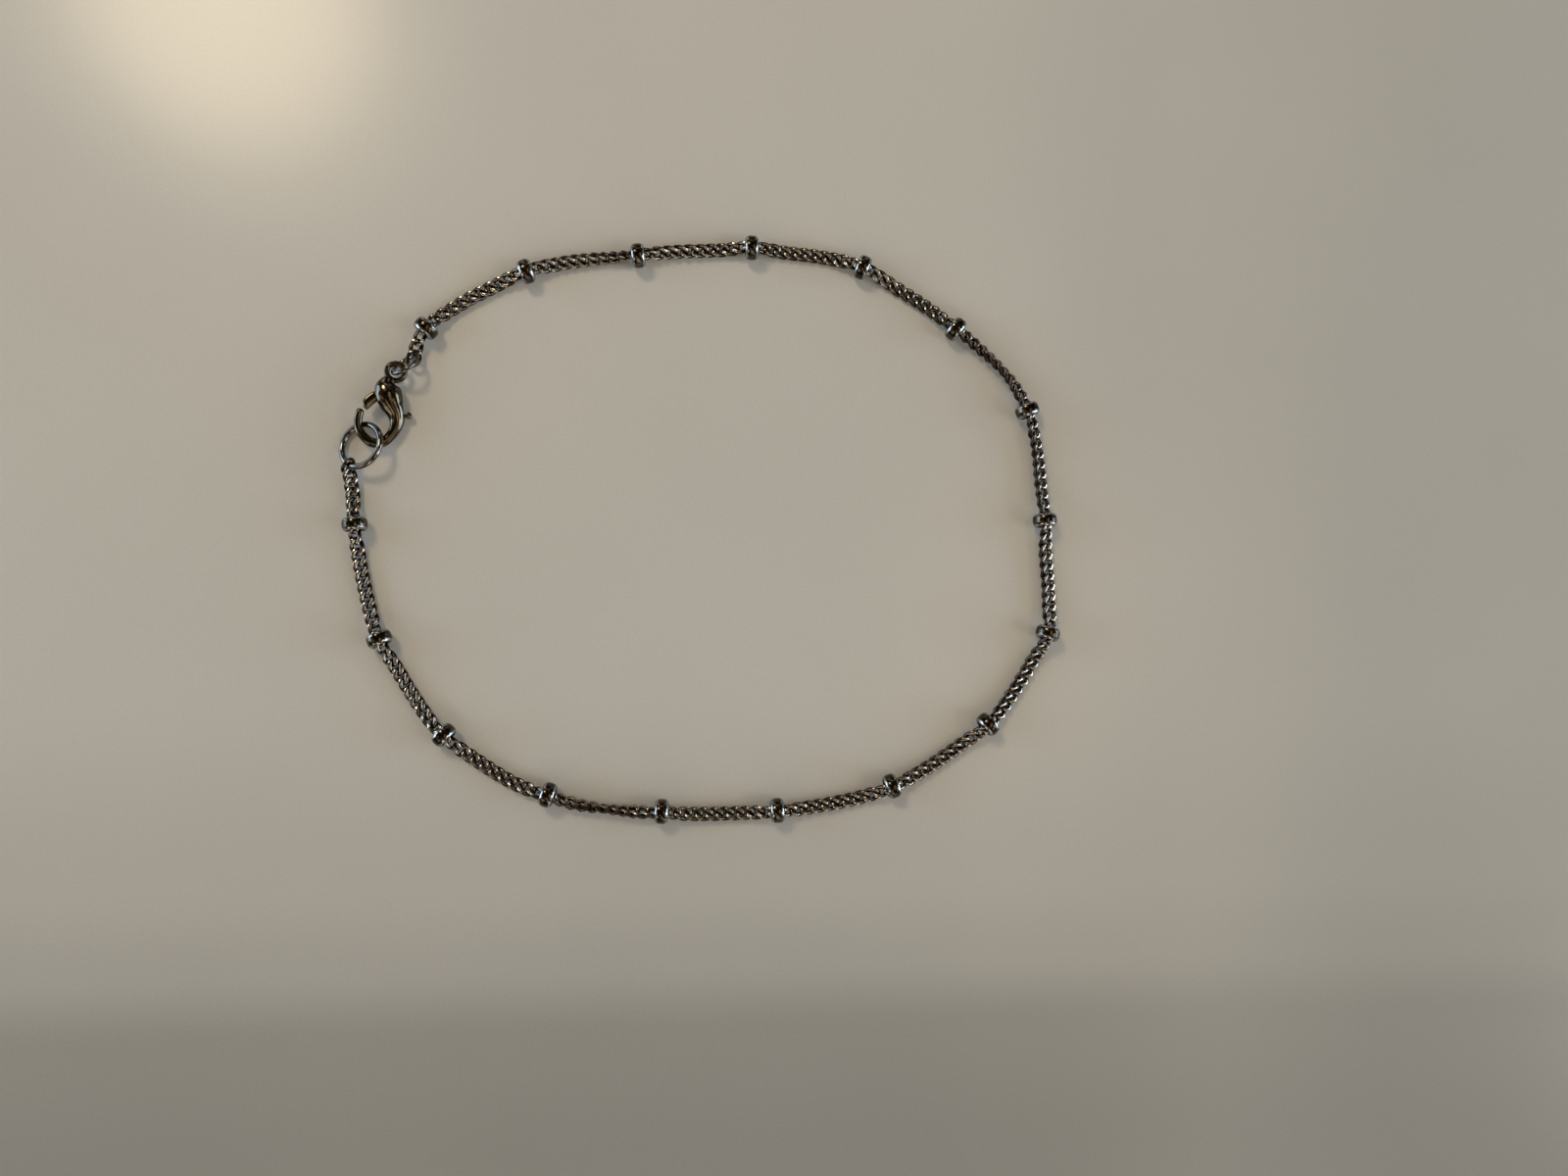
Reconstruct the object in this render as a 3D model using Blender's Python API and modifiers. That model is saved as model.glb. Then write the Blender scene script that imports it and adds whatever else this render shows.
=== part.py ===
"""A beaded chain bracelet lying flat as a closed loop: a fine chain through seventeen
small barrel beads, joined by a lobster clasp with a sprung lever and two jump rings.
Metres, +Z up, the loop lies on the plane z = 0 with its middle over the origin."""

import math

import bmesh
import bpy
from mathutils import Euler, Matrix, Vector

MM = 0.001

# Beads: short barrels with a plain band round the middle, drilled for the chain.
BEAD_DIAMETER = 2.8 * MM
BEAD_LENGTH = 1.5 * MM
BEAD_BAND = 0.24 * MM
BEAD_RIM = 0.12 * MM
BEAD_SIDES = 16
BEAD_SHOULDER_STEPS = 4

# Chain: the round room that the curb chain fills, and how loosely the beads sit on it.
CHAIN_DIAMETER = 1.3 * MM
CHAIN_SAG = 3.2 * MM
CHAIN_POINT_GAP = 3.9 * MM
BEAD_CLEARANCE = 0.3 * MM
BEAD_SIT = 0.15 * MM
BEAD_DROP = 0.07 * MM

# End links: the last link at either end of the chain, a twisted oval of round wire.
LINK_LENGTH = 2.15 * MM
LINK_WIDTH = 1.75 * MM
LINK_WIRE = 0.42 * MM
LINK_TWIST = 0.22 * MM
LINK_SIDES = 16
LINK_CLEARANCE = 0.15 * MM

# Jump rings, each a round wire whose butt ends leave a hair gap.
CLASP_RING_DIAMETER = 3.6 * MM
CLASP_RING_WIRE = 0.5 * MM
END_RING_DIAMETER = 5.73 * MM
END_RING_WIRE = 0.7 * MM
RING_SPLIT = 0.08 * MM
RING_STEPS = 32

# Clasp: cast body whose limb runs from the shoulder round the hook to its tip.
CLASP_LENGTH = 10.2 * MM
CLASP_WIDTH = 5.2 * MM
CLASP_SHOULDER = 3.06 * MM
CLASP_FLATNESS = 0.84
EYE_DIAMETER = 2.55 * MM
EYE_WIRE = 0.62 * MM
LEVER_THICKNESS = 0.7 * MM
LEVER_EDGE = 0.14 * MM
LEVER_TIP = 0.95 * MM
LEVER_ARM = 1.15 * MM
LEVER_HUB = 1.35 * MM
LEVER_NECK = 0.55 * MM
LEVER_THUMB = 0.84 * MM
LEVER_CLEARANCE = 0.1 * MM
PIN_DIAMETER = 0.6 * MM
PIN_CLEARANCE = 0.05 * MM
PIN_INSET = 0.1 * MM
PIN_SIDES = 16

# How the clasp and the rings lie: angles in degrees, places in metres.
EYE_PLACE = (-34.72 * MM, 17.17 * MM)
EYE_ACROSS = 0.06
CLASP_LEAN = 14.1
CLASP_ROLL = 11.0
CLASP_PITCH = 2.0
CLASP_RING_PLACE = (-33.71 * MM, 17.96 * MM)
CLASP_RING_HEADING = 33.0
CLASP_RING_LEAN = 36.0
END_RING_FROM_HOOK = (-1.19 * MM, 0.16 * MM)
END_RING_TILT = 25.0
END_RING_UPHILL = -28.0

# The chain's chosen route: each bead's middle, then how far the chain to the next
# bead bows outwards at its first and its last third.
ROUTE = [
    # x, y, bow_first, bow_last
    (-31.42 * MM, 22.27 * MM, 0.78 * MM, 0.63 * MM),
    (-20.30 * MM, 29.10 * MM, 0.60 * MM, 0.43 * MM),
    (-7.57 * MM, 31.22 * MM, 0.37 * MM, 0.28 * MM),
    (5.59 * MM, 32.44 * MM, 0.47 * MM, 0.68 * MM),
    (18.58 * MM, 30.37 * MM, 0.47 * MM, 0.57 * MM),
    (29.52 * MM, 23.18 * MM, 0.91 * MM, 1.16 * MM),
    (37.88 * MM, 13.58 * MM, 0.65 * MM, 0.42 * MM),
    (39.70 * MM, 0.61 * MM, 0.23 * MM, 0.46 * MM),
    (39.75 * MM, -12.54 * MM, 0.51 * MM, 0.62 * MM),
    (32.51 * MM, -22.98 * MM, 0.46 * MM, 0.58 * MM),
    (21.30 * MM, -29.86 * MM, 0.62 * MM, 0.54 * MM),
    (8.23 * MM, -32.43 * MM, 0.35 * MM, 0.42 * MM),
    (-4.73 * MM, -32.35 * MM, 0.57 * MM, 0.67 * MM),
    (-17.30 * MM, -30.35 * MM, 0.85 * MM, 0.70 * MM),
    (-28.74 * MM, -23.64 * MM, 0.59 * MM, 0.42 * MM),
    (-35.95 * MM, -12.98 * MM, 0.57 * MM, 0.54 * MM),
    (-38.88 * MM, -0.17 * MM, 0.00 * MM, 0.00 * MM),
]
BOW_PLACES = (0.3, 0.7)

# The end links: the first one's middle, with height, the last one's place off the end
# ring's wire, and how each is turned: heading, pitch, roll.
FIRST_LINK = (-32.85 * MM, 18.85 * MM, 1.04 * MM)
FIRST_LINK_TURN = (72.6, -2.2, 5.9)
LAST_LINK_SIDE = -119.6
LAST_LINK_OUT = 0.19 * MM
LAST_LINK_RISE = -0.09 * MM
LAST_LINK_TURN = (64.7, 22.0, 58.7)

# Clasp body, from the neck under the eye round the hook to the tip.
LIMB = [
    # across and along the clasp, width, as shares of its width, length and shoulder
    (-0.005, 0.785, 0.34),
    (-0.035, 0.747, 0.58),
    (-0.030, 0.697, 0.84),
    (0.010, 0.640, 0.97),
    (0.068, 0.578, 0.98),
    (0.150, 0.520, 0.88),
    (0.235, 0.469, 0.75),
    (0.305, 0.410, 0.62),
    (0.348, 0.348, 0.53),
    (0.348, 0.266, 0.43),
    (0.296, 0.176, 0.38),
    (0.208, 0.099, 0.37),
    (0.071, 0.057, 0.37),
    (-0.075, 0.054, 0.36),
    (-0.215, 0.086, 0.33),
    (-0.332, 0.138, 0.31),
    (-0.408, 0.209, 0.30),
    (-0.434, 0.286, 0.30),
    (-0.436, 0.350, 0.29),
    (-0.432, 0.384, 0.24),
]
LIMB_STEPS = 2

# Lever, from the gate's end past the pin to the thumb tab.
LEVER = [
    # across and along from the pin, as shares of the clasp's width and length
    (-0.516, -0.152, "tip"),
    (-0.434, -0.061, "arm"),
    (-0.298, 0.020, "arm"),
    (-0.144, 0.025, "arm"),
    (0.000, 0.000, "hub"),
    (0.150, -0.076, "arm"),
    (0.290, -0.126, "neck"),
    (0.375, -0.122, "neck"),
    (0.435, -0.104, "thumb"),
    (0.485, -0.088, "thumb"),
]
GATE_MITRE = 33.0
PIN_ACROSS = 0.127
PIN_ALONG = 0.551

COLOURS = {
    # base colour, metallic, roughness
    "bead_metal": ((0.105, 0.085, 0.066), 1.0, 0.22),
    "chain_metal": ((0.165, 0.135, 0.110), 1.0, 0.30),
    "clasp_metal": ((0.120, 0.108, 0.085), 1.0, 0.26),
    "ring_metal": ((0.150, 0.145, 0.140), 1.0, 0.20),
    "pin_metal": ((0.090, 0.080, 0.070), 1.0, 0.35),
}


def material(name):
    found = bpy.data.materials.get(name)
    if found:
        return found
    made = bpy.data.materials.new(name)
    made.use_nodes = True
    shader = made.node_tree.nodes["Principled BSDF"]
    colour, metallic, roughness = COLOURS[name]
    shader.inputs["Base Color"].default_value = (*colour, 1.0)
    shader.inputs["Metallic"].default_value = metallic
    shader.inputs["Roughness"].default_value = roughness
    made.diffuse_color = (*colour, 1.0)
    return made


def clear_scene():
    for old in list(bpy.data.objects):
        bpy.data.objects.remove(old, do_unlink=True)
    for old in list(bpy.data.collections):
        bpy.data.collections.remove(old)


def new_collection(name):
    made = bpy.data.collections.new(name)
    bpy.context.scene.collection.children.link(made)
    return made


def add_mesh_object(name, mesh, collection, metal, smooth=True):
    made = bpy.data.objects.new(name, mesh)
    collection.objects.link(made)
    if not mesh.materials:
        mesh.materials.append(material(metal))
    if smooth:
        mesh.shade_smooth()
        mesh.set_sharp_from_angle(angle=math.radians(50))
    return made


def mesh_of(helper, weld=0.002 * MM):
    """The evaluated mesh of a curve or a modified object, with its seams welded."""
    bpy.context.view_layer.update()
    seen = helper.evaluated_get(bpy.context.evaluated_depsgraph_get())
    mesh = bpy.data.meshes.new_from_object(seen)
    work = bmesh.new()
    work.from_mesh(mesh)
    bmesh.ops.remove_doubles(work, verts=work.verts, dist=weld)
    bmesh.ops.recalc_face_normals(work, faces=work.faces)
    work.to_mesh(mesh)
    work.free()
    mesh.materials.clear()
    helper_data = helper.data
    bpy.data.objects.remove(helper, do_unlink=True)
    if isinstance(helper_data, bpy.types.Curve):
        bpy.data.curves.remove(helper_data)
    return mesh


def wire_curve(name, points, diameter, collection, closed=False, widths=None, resolution=2):
    """A round wire along points; widths scale it from point to point."""
    curve = bpy.data.curves.new(name, "CURVE")
    curve.dimensions = "3D"
    curve.twist_mode = "Z_UP"
    curve.bevel_depth = diameter / 2
    curve.bevel_resolution = resolution
    curve.use_fill_caps = not closed
    spline = curve.splines.new("POLY")
    spline.points.add(len(points) - 1)
    for i, point in enumerate(points):
        spline.points[i].co = (*point, 1.0)
        spline.points[i].radius = widths[i] if widths else 1.0
    spline.use_cyclic_u = closed
    made = bpy.data.objects.new(name, curve)
    collection.objects.link(made)
    return made


def smooth_points(rows, steps):
    """Rows of numbers read from a smooth curve through the given rows."""
    ends = [[2 * a - b for a, b in zip(rows[0], rows[1])]]
    ends += [list(row) for row in rows]
    ends.append([2 * a - b for a, b in zip(rows[-1], rows[-2])])
    out = []
    for i in range(1, len(ends) - 2):
        for step in range(steps):
            t = step / steps
            row = []
            for p0, p1, p2, p3 in zip(ends[i - 1], ends[i], ends[i + 1], ends[i + 2]):
                a = 2 * p1
                b = (p2 - p0) * t
                c = (2 * p0 - 5 * p1 + 4 * p2 - p3) * t**2
                d = (3 * p1 - p0 - 3 * p2 + p3) * t**3
                row.append((a + b + c + d) / 2)
            out.append(row)
    out.append(list(rows[-1]))
    return out


def outward(first, second):
    """The level direction across a run, away from the loop's middle."""
    run = (second - first).normalized()
    return Vector((-run.y, run.x))


def clasp_turn():
    return Euler(
        (math.radians(CLASP_PITCH), math.radians(CLASP_ROLL), -math.radians(CLASP_LEAN)), "YXZ"
    )


def eye_middle():
    """The eye's middle in the clasp's own frame, whose origin is at the hook's bend."""
    return Vector((EYE_ACROSS * CLASP_WIDTH, CLASP_LENGTH - EYE_DIAMETER / 2, 0.0))


def hook_place():
    """Where the hook's bend lies when the eye is at its place."""
    return Vector(EYE_PLACE) - (clasp_turn().to_matrix() @ eye_middle()).to_2d()


def end_ring_middle():
    """The end ring hangs in the hook, tilted, with its low side on the table."""
    place = hook_place() + Vector(END_RING_FROM_HOOK)
    reach = (END_RING_DIAMETER - END_RING_WIRE) / 2
    return Vector((*place, END_RING_WIRE / 2 + reach * math.sin(math.radians(END_RING_TILT))))


def last_link_middle():
    """The last link's middle, just outside the end ring's wire and in its plane."""
    side = math.radians(LAST_LINK_SIDE)
    reach = (END_RING_DIAMETER - END_RING_WIRE) / 2 + LAST_LINK_OUT
    rise = math.tan(math.radians(END_RING_TILT)) * math.cos(side - math.radians(END_RING_UPHILL))
    off = Vector((math.cos(side), math.sin(side), rise)) * reach
    return end_ring_middle() + off + Vector((0.0, 0.0, LAST_LINK_RISE))


def bead_seats():
    """Each bead's middle on the route, and the outward direction there."""
    middles = [Vector(row[:2]) for row in ROUTE]
    around = [Vector(FIRST_LINK[:2])] + middles + [last_link_middle().to_2d()]
    return [(around[i], outward(around[i - 1], around[i + 1])) for i in range(1, len(around) - 1)]


def route_line():
    """The chain's line seen from above, as closely spaced points, and the beads' places on it."""
    rows, bead_rows = [Vector(FIRST_LINK[:2])], []
    seats = bead_seats()
    for i, (middle, out) in enumerate(seats):
        bead_rows.append(len(rows))
        rows.append(middle + out * BEAD_SIT)
        if i + 1 == len(seats):
            break
        after = seats[i + 1][0]
        for place, bow in zip(BOW_PLACES, ROUTE[i][2:]):
            rows.append(middle.lerp(after, place) + outward(middle, after) * bow)
    rows.append(last_link_middle().to_2d())
    steps = 16
    return [Vector(p) for p in smooth_points(rows, steps)], [r * steps for r in bead_rows]


def distances(line):
    out = [0.0]
    for a, b in zip(line, line[1:]):
        out.append(out[-1] + (b - a).length)
    return out


def at_distance(line, along, distance):
    i = 1
    while i < len(line) - 1 and along[i] < distance:
        i += 1
    share = (distance - along[i - 1]) / (along[i] - along[i - 1])
    return line[i - 1].lerp(line[i], share)


def chain_height(distance, bead_distances, total):
    """The chain hangs in the beads and the end links, and sags to the table between."""
    low = CHAIN_DIAMETER / 2
    high = BEAD_DIAMETER / 2 - BEAD_DROP
    height = low
    for bead in bead_distances:
        free = abs(distance - bead) - BEAD_LENGTH / 2
        share = min(max(1 - free / CHAIN_SAG, 0.0), 1.0)
        height = max(height, low + (high - low) * share * share)
    for end, link in ((0.0, FIRST_LINK), (total, last_link_middle())):
        share = min(max(1 - abs(distance - end) / CHAIN_SAG, 0.0), 1.0)
        height = max(height, low + (link[2] - low) * share)
    return height


def make_chain(collection):
    line, bead_rows = route_line()
    along = distances(line)
    beads = [along[r] for r in bead_rows]
    reach = LINK_LENGTH / 2 + LINK_CLEARANCE
    half = BEAD_LENGTH / 2 + LINK_CLEARANCE
    stops = [reach]
    for bead in beads:
        stops += [bead - half, bead + half]
    stops.append(along[-1] - reach)
    points = []
    for start, end in zip(stops, stops[1:]):
        parts = 1
        if (end - start) > CHAIN_POINT_GAP:
            parts = math.ceil((end - start) / CHAIN_POINT_GAP - 0.001)
        for k in range(parts):
            points.append(start + (end - start) * k / parts)
    points.append(stops[-1])
    placed = []
    for distance in points:
        spot = at_distance(line, along, distance)
        placed.append((spot.x, spot.y, chain_height(distance, beads, along[-1])))
    chain = wire_curve("chain", placed, CHAIN_DIAMETER, collection)
    chain.data.materials.append(material("chain_metal"))
    return chain


def bead_profile():
    """Half section of the bead, down its outer side and back up the drilled hole."""
    hole = CHAIN_DIAMETER / 2 + BEAD_CLEARANCE
    rim = hole + BEAD_RIM
    radius = BEAD_DIAMETER / 2
    top, band = BEAD_LENGTH / 2, BEAD_BAND / 2
    shoulder = []
    for k in range(BEAD_SHOULDER_STEPS + 1):
        turn = math.pi / 2 * (1 - k / BEAD_SHOULDER_STEPS)
        shoulder.append((rim + (radius - rim) * math.cos(turn), band + (top - band) * math.sin(turn)))
    outer = shoulder + [(x, -z) for x, z in reversed(shoulder)]
    return outer + [(hole, -top), (hole, top)]


def turned_mesh(name, profile, sides, collection):
    mesh = bpy.data.meshes.new(name)
    count = len(profile)
    edges = [(i, (i + 1) % count) for i in range(count)]
    mesh.from_pydata([(x, 0.0, z) for x, z in profile], edges, [])
    helper = bpy.data.objects.new(name, mesh)
    collection.objects.link(helper)
    screw = helper.modifiers.new("turn", "SCREW")
    screw.axis = "Z"
    screw.steps = screw.render_steps = sides
    screw.use_merge_vertices = True
    screw.merge_threshold = 0.01 * MM
    return mesh_of(helper)


def make_beads(collection):
    mesh = turned_mesh("bead", bead_profile(), BEAD_SIDES, collection)
    line, bead_rows = route_line()
    beads = []
    for i, ((middle, _), row) in enumerate(zip(bead_seats(), bead_rows)):
        bead = add_mesh_object(f"bead_{i + 1:02d}", mesh, collection, "bead_metal")
        run = (line[row + 1] - line[row - 1]).normalized()
        bead.rotation_mode = "QUATERNION"
        bead.rotation_quaternion = Vector((run.x, run.y, 0)).to_track_quat("Z", "Y")
        bead.location = (middle.x, middle.y, BEAD_DIAMETER / 2)
        beads.append(bead)
    return beads


def make_end_link(name, place, turn, collection):
    """A twisted oval of wire, long along its local X."""
    half_length = (LINK_LENGTH - LINK_WIRE) / 2
    half_width = (LINK_WIDTH - LINK_WIRE) / 2
    points = []
    for k in range(LINK_SIDES):
        angle = 2 * math.pi * k / LINK_SIDES
        x = half_length * math.cos(angle)
        y = half_width * math.sin(angle)
        points.append((x, y, LINK_TWIST / 2 * math.sin(2 * angle)))
    helper = wire_curve(name, points, LINK_WIRE, collection, closed=True, resolution=1)
    mesh = mesh_of(helper)
    link = add_mesh_object(name, mesh, collection, "chain_metal")
    heading, pitch, roll = (math.radians(a) for a in turn)
    link.rotation_mode = "XYZ"
    link.rotation_euler = (roll, -pitch, heading)
    link.location = place
    return link


def ring_points(diameter, wire, split):
    """A round of wire in the local XY plane, open by the split at +X."""
    radius = (diameter - wire) / 2
    half_gap = split / 2 / radius
    points = []
    for k in range(RING_STEPS + 1):
        angle = half_gap + (2 * math.pi - 2 * half_gap) * k / RING_STEPS
        points.append((radius * math.cos(angle), radius * math.sin(angle), 0.0))
    return points


def make_ring(name, diameter, wire, collection):
    helper = wire_curve(name, ring_points(diameter, wire, RING_SPLIT), wire, collection)
    return add_mesh_object(name, mesh_of(helper), collection, "ring_metal")


def make_clasp_ring(collection):
    """Stands on its edge through the clasp's eye and the first link, leaning a little."""
    ring = make_ring("clasp_ring", CLASP_RING_DIAMETER, CLASP_RING_WIRE, collection)
    upright = Matrix.Rotation(math.radians(90 + CLASP_RING_LEAN), 4, "X")
    heading = Matrix.Rotation(math.radians(CLASP_RING_HEADING), 4, "Z")
    split_up = Matrix.Rotation(math.radians(60), 4, "Z")
    lean = math.radians(CLASP_RING_LEAN)
    height = CLASP_RING_WIRE / 2 + (CLASP_RING_DIAMETER - CLASP_RING_WIRE) / 2 * math.cos(lean)
    place = Matrix.Translation((*CLASP_RING_PLACE, height))
    ring.matrix_world = place @ heading @ upright @ split_up
    return ring


def make_end_ring(collection):
    """Lies tilted, under the hook's tip and over its bend, with its low side on the table."""
    ring = make_ring("end_ring", END_RING_DIAMETER, END_RING_WIRE, collection)
    tilt = math.radians(END_RING_TILT)
    uphill = Matrix.Rotation(math.radians(END_RING_UPHILL), 4, "Z")
    tilted = Matrix.Rotation(-tilt, 4, "Y")
    split_turn = Matrix.Rotation(math.radians(42), 4, "Z")
    place = Matrix.Translation(end_ring_middle())
    ring.matrix_world = place @ uphill @ tilted @ split_turn
    return ring


def make_clasp_axes(collection):
    """The clasp's own frame: X across it, Y along it to the eye, Z through its thickness."""
    axes = bpy.data.objects.new("clasp_axes", None)
    collection.objects.link(axes)
    pitch, roll = math.radians(CLASP_PITCH), math.radians(CLASP_ROLL)
    height = 0.0
    for across, along, width in LIMB:
        half = CLASP_SHOULDER * width / 2
        reach = math.hypot(half * math.sin(roll), half * CLASP_FLATNESS * math.cos(roll))
        rise = along * CLASP_LENGTH * math.sin(pitch)
        rise -= across * CLASP_WIDTH * math.sin(roll) * math.cos(pitch)
        height = max(height, reach - rise)
    axes.location = (*hook_place(), height)
    axes.rotation_mode = "YXZ"
    axes.rotation_euler = clasp_turn()
    return axes


def cutter(name, mesh, cutters, parent):
    made = bpy.data.objects.new(name, mesh)
    cutters.objects.link(made)
    made.parent = parent
    made.hide_render = True
    made.display_type = "WIRE"
    return made


def add_boolean(target, other, operation):
    cut = target.modifiers.new(other.name, "BOOLEAN")
    cut.operation = operation
    cut.object = other
    cut.solver = "EXACT"


def pin_place():
    return PIN_ACROSS * CLASP_WIDTH, PIN_ALONG * CLASP_LENGTH


def primitive_mesh(name, make):
    mesh = bpy.data.meshes.new(name)
    work = bmesh.new()
    make(work)
    work.to_mesh(mesh)
    work.free()
    return mesh


def cylinder_mesh(name, diameter, length):
    return primitive_mesh(
        name,
        lambda work: bmesh.ops.create_cone(
            work,
            cap_ends=True,
            segments=PIN_SIDES,
            radius1=diameter / 2,
            radius2=diameter / 2,
            depth=length,
        ),
    )


def slot_ends():
    """Where the slot for the lever starts and ends along the clasp."""
    outline = lever_outline()
    thumb_side = [y for x, y in outline if x > -LEVER_HUB / 2]
    low = min(thumb_side) - 4 * LEVER_CLEARANCE
    high = max(y for _, y in outline) + 2 * LEVER_CLEARANCE
    return pin_place()[1] + low, pin_place()[1] + high


def make_clasp_body(collection, cutters, axes):
    rows = smooth_points([list(row) for row in LIMB], LIMB_STEPS)
    points = [(x * CLASP_WIDTH, y * CLASP_LENGTH, 0.0) for x, y, _ in rows]
    widths = [w for _, _, w in rows]
    helper = wire_curve(
        "limb", points, CLASP_SHOULDER, collection, widths=widths, resolution=4
    )
    mesh = mesh_of(helper)
    for vertex in mesh.vertices:
        vertex.co.z *= CLASP_FLATNESS
    body = add_mesh_object("clasp_body", mesh, collection, "clasp_metal")
    body.parent = axes

    eye_curve = wire_curve(
        "eye",
        [
            (
                (EYE_DIAMETER - EYE_WIRE) / 2 * math.cos(2 * math.pi * k / RING_STEPS),
                (EYE_DIAMETER - EYE_WIRE) / 2 * math.sin(2 * math.pi * k / RING_STEPS),
                0.0,
            )
            for k in range(RING_STEPS)
        ],
        EYE_WIRE,
        collection,
        closed=True,
    )
    eye = cutter("eye_round", mesh_of(eye_curve), cutters, axes)
    eye.location = eye_middle()
    add_boolean(body, eye, "UNION")

    slot_from, slot_to = slot_ends()
    slot_size = Vector(
        (3 * CLASP_WIDTH, slot_to - slot_from, LEVER_THICKNESS + 2 * LEVER_CLEARANCE)
    )
    slot_mesh = primitive_mesh(
        "lever_slot",
        lambda work: bmesh.ops.create_cube(work, size=1.0, matrix=Matrix.Diagonal((*slot_size, 1.0))),
    )
    slot = cutter("lever_slot", slot_mesh, cutters, axes)
    slot.location = (0.0, (slot_from + slot_to) / 2, 0.0)
    add_boolean(body, slot, "DIFFERENCE")

    bore_mesh = cylinder_mesh("pin_bore", PIN_DIAMETER + 2 * PIN_CLEARANCE, 2 * CLASP_SHOULDER)
    bore = cutter("pin_bore", bore_mesh, cutters, axes)
    bore.location = (*pin_place(), 0.0)
    add_boolean(body, bore, "DIFFERENCE")
    return body


def lever_outline():
    """The lever's edge seen from above: out along one side of its middle line and back."""
    sizes = {"tip": LEVER_TIP, "arm": LEVER_ARM, "hub": LEVER_HUB, "neck": LEVER_NECK, "thumb": LEVER_THUMB}
    rows = [[x * CLASP_WIDTH, y * CLASP_LENGTH, sizes[kind]] for x, y, kind in LEVER]
    rows = smooth_points(rows, 2)
    left, right = [], []
    for i, (x, y, width) in enumerate(rows):
        before, after = rows[max(i - 1, 0)], rows[min(i + 1, len(rows) - 1)]
        run = Vector((after[0] - before[0], after[1] - before[1])).normalized()
        side = Vector((-run.y, run.x)) * width / 2
        if i == 0:
            side += run * width / 2 * math.tan(math.radians(GATE_MITRE))
        left.append((x + side.x, y + side.y))
        right.append((x - side.x, y - side.y))
    return left + right[::-1]


def make_lever(collection, cutters, axes):
    outline = lever_outline()
    curve = bpy.data.curves.new("lever", "CURVE")
    curve.dimensions = "2D"
    curve.fill_mode = "BOTH"
    curve.extrude = LEVER_THICKNESS / 2 - LEVER_EDGE
    curve.bevel_depth = LEVER_EDGE
    curve.bevel_resolution = 1
    curve.offset = -LEVER_EDGE
    spline = curve.splines.new("POLY")
    spline.points.add(len(outline) - 1)
    for point, (x, y) in zip(spline.points, outline):
        point.co = (x, y, 0.0, 1.0)
    spline.use_cyclic_u = True
    helper = bpy.data.objects.new("lever", curve)
    collection.objects.link(helper)
    lever = add_mesh_object("clasp_lever", mesh_of(helper), collection, "clasp_metal")
    lever.parent = axes
    lever.location = (*pin_place(), 0.0)
    bore_mesh = cylinder_mesh("hub_bore", PIN_DIAMETER + 2 * PIN_CLEARANCE, 2 * CLASP_SHOULDER)
    bore = cutter("hub_bore", bore_mesh, cutters, axes)
    bore.location = (*pin_place(), 0.0)
    add_boolean(lever, bore, "DIFFERENCE")
    return lever


def limb_thickness(place):
    """How thick the clasp body is through the limb's row nearest to a place on it."""
    across, along = place
    nearest = min(
        LIMB, key=lambda row: math.hypot(row[0] * CLASP_WIDTH - across, row[1] * CLASP_LENGTH - along)
    )
    return nearest[2] * CLASP_SHOULDER * CLASP_FLATNESS


def make_pin(collection, axes):
    length = limb_thickness(pin_place()) - 2 * PIN_INSET
    pin = add_mesh_object(
        "lever_pin", cylinder_mesh("lever_pin", PIN_DIAMETER, length), collection, "pin_metal"
    )
    pin.parent = axes
    pin.location = (*pin_place(), 0.0)
    return pin


def main():
    clear_scene()
    bracelet = new_collection("beaded_chain_bracelet")
    cutters = new_collection("cutters")
    cutters.hide_render = True
    make_chain(bracelet)
    make_beads(bracelet)
    make_end_link("chain_end_link_first", FIRST_LINK, FIRST_LINK_TURN, bracelet)
    make_end_link("chain_end_link_last", last_link_middle(), LAST_LINK_TURN, bracelet)
    make_clasp_ring(bracelet)
    make_end_ring(bracelet)
    axes = make_clasp_axes(bracelet)
    make_clasp_body(bracelet, cutters, axes)
    make_lever(bracelet, cutters, axes)
    make_pin(bracelet, axes)
    bpy.context.view_layer.update()


main()
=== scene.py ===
"""A beaded chain bracelet lying closed on a pale counter: curb links laid through one
another and through seventeen turned beads, a cast lobster clasp and two jump rings."""

import math

import bmesh
import bpy
import numpy as np
from mathutils import Euler, Matrix, Vector

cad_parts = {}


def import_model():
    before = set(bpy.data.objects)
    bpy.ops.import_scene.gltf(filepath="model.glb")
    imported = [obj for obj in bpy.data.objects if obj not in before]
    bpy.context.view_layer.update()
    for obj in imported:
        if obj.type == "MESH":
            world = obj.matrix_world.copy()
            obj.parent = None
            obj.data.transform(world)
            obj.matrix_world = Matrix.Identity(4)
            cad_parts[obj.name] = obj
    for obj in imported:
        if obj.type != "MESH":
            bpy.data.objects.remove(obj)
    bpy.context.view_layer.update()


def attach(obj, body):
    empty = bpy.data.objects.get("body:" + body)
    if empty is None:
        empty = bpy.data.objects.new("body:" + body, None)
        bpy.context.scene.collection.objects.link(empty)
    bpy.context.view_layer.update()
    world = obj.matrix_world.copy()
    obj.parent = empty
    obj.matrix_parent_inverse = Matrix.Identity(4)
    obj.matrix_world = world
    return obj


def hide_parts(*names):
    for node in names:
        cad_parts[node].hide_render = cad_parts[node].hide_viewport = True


MM = 0.001

# The chain: one curb link and how the links follow each other.
LINK_HALF_LENGTH = 0.875 * MM
LINK_HALF_WIDTH = 0.57 * MM
LINK_RISE = 0.32 * MM
LINK_WIRE = 0.53 * MM
LINK_FLAT = 0.45 * MM
LINK_SIDES = 6
LINK_STEPS = (0, 29, 61)
LINKS_PER_BEAD = 11
LINKS_TO_CLASP = 3
LINKS_TO_RING = 6
ROLL_CHANCE = 3.0
DRAWN_IN = 0.86

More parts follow.
